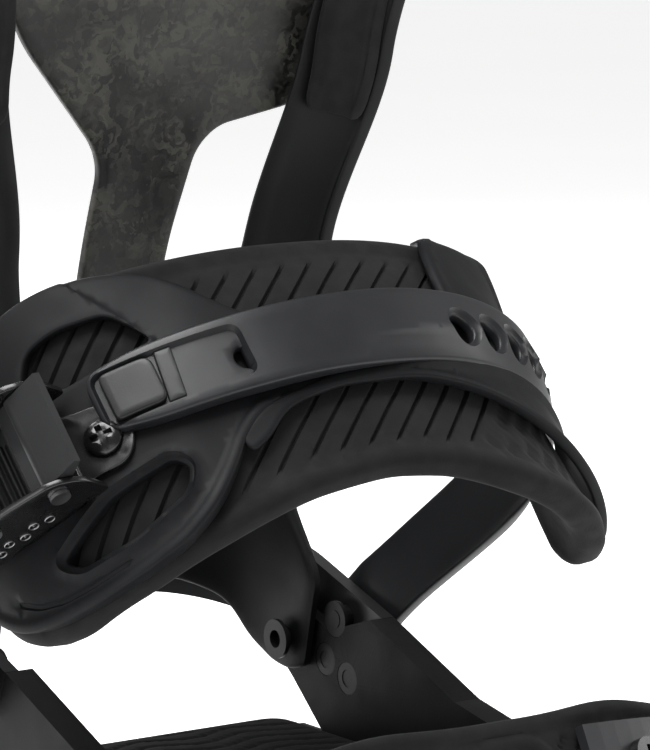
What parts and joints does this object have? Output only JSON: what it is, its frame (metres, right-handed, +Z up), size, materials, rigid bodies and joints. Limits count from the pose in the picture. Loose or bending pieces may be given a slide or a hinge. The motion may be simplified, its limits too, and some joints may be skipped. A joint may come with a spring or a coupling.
{
  "type": "touring binding",
  "caption": "Strap-style touring binding for a soft boot: slider channel base, heel loop, tilting highback, ratchet ankle and toe straps and a touring pin.",
  "frame": {"origin": "middle of the puck channel, on the board's plane, between the ankle and toe strap pivots", "axes": "+Z up from the board, +Y towards the heel along the puck channel, +X across, with the buckles on the -X side"},
  "size_m": [0.2122, 0.2293, 0.2986],
  "materials": {
    "aluminium_raw": "bead-blasted satin aluminium",
    "base_nylon": "matte moulded nylon",
    "loop_metal": "satin dark coating",
    "steel": "plain zinc steel",
    "black_metal": "glossy black coating",
    "back_plastic": "matte moulded nylon",
    "forged_carbon": "satin chopped carbon flake",
    "soft_pad": "matte soft foam",
    "strap_frame": "satin moulded plastic",
    "strap_belt": "satin moulded plastic",
    "lever_plastic": "satin moulded plastic",
    "ladder_plastic": "satin moulded plastic",
    "footbed_foam": "matte EVA foam"
  },
  "bodies": {
    "chassis": {"slider_channel": "aluminium_raw", "puck_bumper": "base_nylon", "base_tray": "base_nylon", "deck_screws": "steel", "toe_ramp": "base_nylon", "toe_ramp_screws": "black_metal", "footbed_toe": "footbed_foam", "footbed_heel": "footbed_foam", "heel_loop": "loop_metal", "heel_loop_screws": "black_metal", "heel_loop_nuts": "black_metal", "highback_pivot_screws": "black_metal", "highback_pivot_nuts": "black_metal", "ankle_pivot_screws": "black_metal", "ankle_pivot_nuts": "black_metal", "toe_pivot_screws": "black_metal", "toe_pivot_nuts": "steel"},
    "touring_pin": {"touring_pin": "steel", "touring_pin_handle": "base_nylon", "touring_pin_clip": "steel"},
    "highback": {"highback_frame": "back_plastic", "highback_panel": "forged_carbon", "highback_rivets": "black_metal", "highback_pad_left": "soft_pad", "highback_pad_right": "soft_pad", "lean_track": "back_plastic"},
    "lean_block": {"lean_block": "lever_plastic", "lean_lever_axle": "steel"},
    "lean_lever": {"lean_lever": "lever_plastic"},
    "ankle_strap": {"ankle_belt": "strap_belt", "ankle_frame": "strap_frame", "ankle_pad": "soft_pad", "ankle_clip_block": "lever_plastic", "ankle_buckle_bracket": "black_metal", "ankle_buckle_screw": "black_metal", "ankle_buckle_nut": "steel", "ankle_lever_pin": "steel", "ankle_lever_spring": "steel", "ankle_pawl_pin": "steel"},
    "ankle_lever": {"ankle_lever": "lever_plastic"},
    "ankle_pawl": {"ankle_pawl": "lever_plastic"},
    "ankle_ladder": {"ankle_ladder": "ladder_plastic"},
    "toe_strap": {"toe_belt": "strap_belt", "toe_cap": "soft_pad", "toe_clip_screw": "black_metal", "toe_buckle_bracket": "black_metal", "toe_buckle_screw": "black_metal", "toe_lever_pin": "steel", "toe_lever_spring": "steel", "toe_pawl_pin": "steel"},
    "toe_lever": {"toe_lever": "lever_plastic"},
    "toe_pawl": {"toe_pawl": "lever_plastic"},
    "toe_ladder": {"toe_ladder": "ladder_plastic"}
  },
  "joints": [
    {"name": "highback_tilt", "type": "hinge", "parent": "chassis", "child": "highback", "pos_m": [0, 0.0585, 0.052], "axis": [1, 0, 0], "range_deg": [0, 12]},
    {"name": "lean_block_slide", "type": "slide", "parent": "highback", "child": "lean_block", "axis": [0, -0.2419, 0.9703], "range_m": [0, 0.008]},
    {"name": "lean_lever_flip", "type": "hinge", "parent": "lean_block", "child": "lean_lever", "pos_m": [0, 0.09733, 0.09095], "axis": [-1, 0, 0], "range_deg": [0, 90]},
    {"name": "ankle_strap_swing", "type": "hinge", "parent": "chassis", "child": "ankle_strap", "pos_m": [0, 0.0415, 0.0595], "axis": [1, 0, 0], "range_deg": [-12, 10]},
    {"name": "ankle_ladder_swing", "type": "hinge", "parent": "chassis", "child": "ankle_ladder", "pos_m": [0, 0.0415, 0.0595], "axis": [1, 0, 0], "range_deg": [-12, 10]},
    {"name": "ankle_lever_lift", "type": "hinge", "parent": "ankle_strap", "child": "ankle_lever", "pos_m": [-0.10183, -0.02905, 0.12227], "axis": [0, 0.7071, 0.7071], "range_deg": [0, 60]},
    {"name": "ankle_pawl_lift", "type": "hinge", "parent": "ankle_strap", "child": "ankle_pawl", "pos_m": [-0.0886, -0.03816, 0.13138], "axis": [0, -0.7071, -0.7071], "range_deg": [0, 10], "stiffness_Nm_per_rad": 0.05},
    {"name": "toe_strap_swing", "type": "hinge", "parent": "chassis", "child": "toe_strap", "pos_m": [0, -0.07, 0.032], "axis": [1, 0, 0], "range_deg": [-8, 4]},
    {"name": "toe_ladder_swing", "type": "hinge", "parent": "chassis", "child": "toe_ladder", "pos_m": [0, -0.07, 0.032], "axis": [1, 0, 0], "range_deg": [-8, 4]},
    {"name": "toe_lever_lift", "type": "hinge", "parent": "toe_strap", "child": "toe_lever", "pos_m": [-0.08032, -0.10311, 0.04961], "axis": [0, 0.4695, 0.8829], "range_deg": [0, 60]},
    {"name": "toe_pawl_lift", "type": "hinge", "parent": "toe_strap", "child": "toe_pawl", "pos_m": [-0.06315, -0.10909, 0.05279], "axis": [0, -0.4695, -0.8829], "range_deg": [0, 10], "stiffness_Nm_per_rad": 0.05},
    {"name": "touring_pin_pull", "type": "slide", "parent": "chassis", "child": "touring_pin", "axis": [1, 0, 0], "range_m": [0, 0.078]}
  ],
  "couplings": [
    {"joint": "ankle_ladder_swing", "follows": "ankle_strap_swing", "ratio": 1},
    {"joint": "toe_ladder_swing", "follows": "toe_strap_swing", "ratio": 1}
  ]
}
